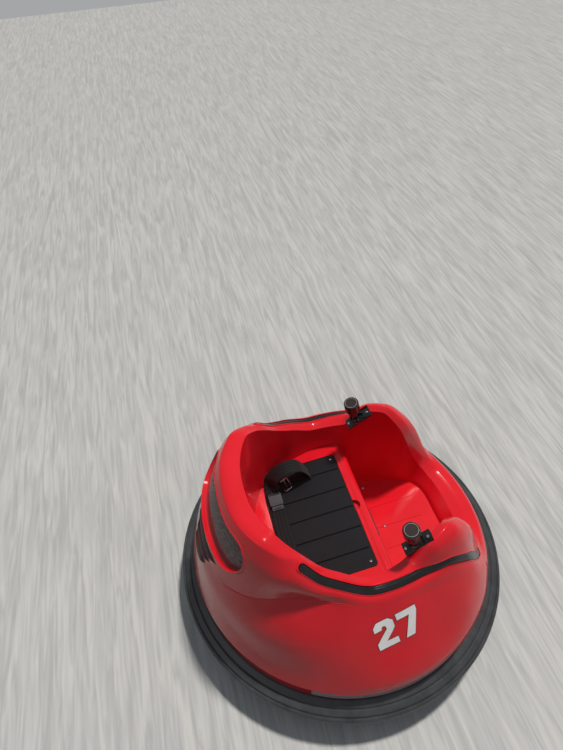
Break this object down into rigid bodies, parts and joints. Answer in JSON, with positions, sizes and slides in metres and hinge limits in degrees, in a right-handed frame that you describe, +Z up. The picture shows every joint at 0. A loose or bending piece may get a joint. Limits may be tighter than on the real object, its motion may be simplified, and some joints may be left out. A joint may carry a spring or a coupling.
{
  "type": "toddler ride-on bumper car",
  "caption": "Round ride-on bumper car for a toddler, with a rubber ring, moulded tub body, slatted seat and twin joysticks.",
  "frame": {"origin": "on the floor under the centre of the bumper ring", "axes": "+Z up, the front faces -Y, +X is the car's left"},
  "size_m": [0.74, 0.74, 0.435],
  "materials": {
    "body_red": "glossy moulded",
    "ring_rubber": "satin ribbed",
    "chassis_black": "moulded",
    "gloss_black": "glossy",
    "clear_strip": "clear, over white",
    "smoked_lens": "polished",
    "reflector_red": "honeycomb",
    "panel_black": "fine grain",
    "webbing": "woven",
    "zinc": "plated",
    "tyre_black": "matt",
    "hub_grey": "moulded",
    "motor_grey": "moulded"
  },
  "bodies": {
    "root": {"body_shell": "body_red", "chassis_pan": "chassis_black", "bumper_ring": "ring_rubber", "left_light_strip": "clear_strip", "right_light_strip": "clear_strip", "left_stripe": "gloss_black", "right_stripe": "gloss_black", "rear_claws": "gloss_black", "rear_lens": "smoked_lens", "lens_reflector": "reflector_red", "seat_panel": "panel_black", "control_panel": "gloss_black", "power_switch": "gloss_black", "charge_socket": "zinc", "strap_left": "webbing", "strap_right": "webbing", "belt_buckle": "gloss_black", "battery": "motor_grey", "drive_axle": "zinc", "left_gearbox": "motor_grey", "right_gearbox": "motor_grey", "left_stick_base": "gloss_black", "right_stick_base": "gloss_black", "front_castor_mount": "chassis_black", "rear_castor_mount": "chassis_black"},
    "left_wheel_set": {"left_wheel": "hub_grey", "left_tyre": "tyre_black"},
    "right_wheel_set": {"right_wheel": "hub_grey", "right_tyre": "tyre_black"},
    "front_swivel": {"front_fork": "zinc"},
    "rear_swivel": {"rear_fork": "zinc"},
    "front_roller": {"front_castor_wheel": "tyre_black"},
    "rear_roller": {"rear_castor_wheel": "tyre_black"},
    "left_stick": {"left_lever": "gloss_black", "left_knob": "gloss_black"},
    "right_stick": {"right_lever": "gloss_black", "right_knob": "gloss_black"}
  },
  "joints": [
    {"name": "left_wheel_spin", "type": "hinge", "parent": "root", "child": "left_wheel_set", "pos_m": [0.192, 0, 0.07], "axis": [1, 0, 0], "continuous": true},
    {"name": "right_wheel_spin", "type": "hinge", "parent": "root", "child": "right_wheel_set", "pos_m": [-0.192, 0, 0.07], "axis": [1, 0, 0], "continuous": true},
    {"name": "front_castor_swivel", "type": "hinge", "parent": "root", "child": "front_swivel", "pos_m": [0, -0.222, 0.055], "axis": [0, 0, 1], "continuous": true},
    {"name": "rear_castor_swivel", "type": "hinge", "parent": "root", "child": "rear_swivel", "pos_m": [0, 0.222, 0.055], "axis": [0, 0, 1], "continuous": true},
    {"name": "front_castor_spin", "type": "hinge", "parent": "front_swivel", "child": "front_roller", "pos_m": [0, -0.207, 0.022], "axis": [1, 0, 0], "continuous": true},
    {"name": "rear_castor_spin", "type": "hinge", "parent": "rear_swivel", "child": "rear_roller", "pos_m": [0, 0.237, 0.022], "axis": [1, 0, 0], "continuous": true},
    {"name": "left_stick_tilt", "type": "hinge", "parent": "root", "child": "left_stick", "pos_m": [0.157, -0.086, 0.342], "axis": [1, 0, 0], "range_deg": [-15, 15], "stiffness_Nm_per_rad": 0.4},
    {"name": "right_stick_tilt", "type": "hinge", "parent": "root", "child": "right_stick", "pos_m": [-0.157, -0.086, 0.342], "axis": [1, 0, 0], "range_deg": [-15, 15], "stiffness_Nm_per_rad": 0.4}
  ]
}
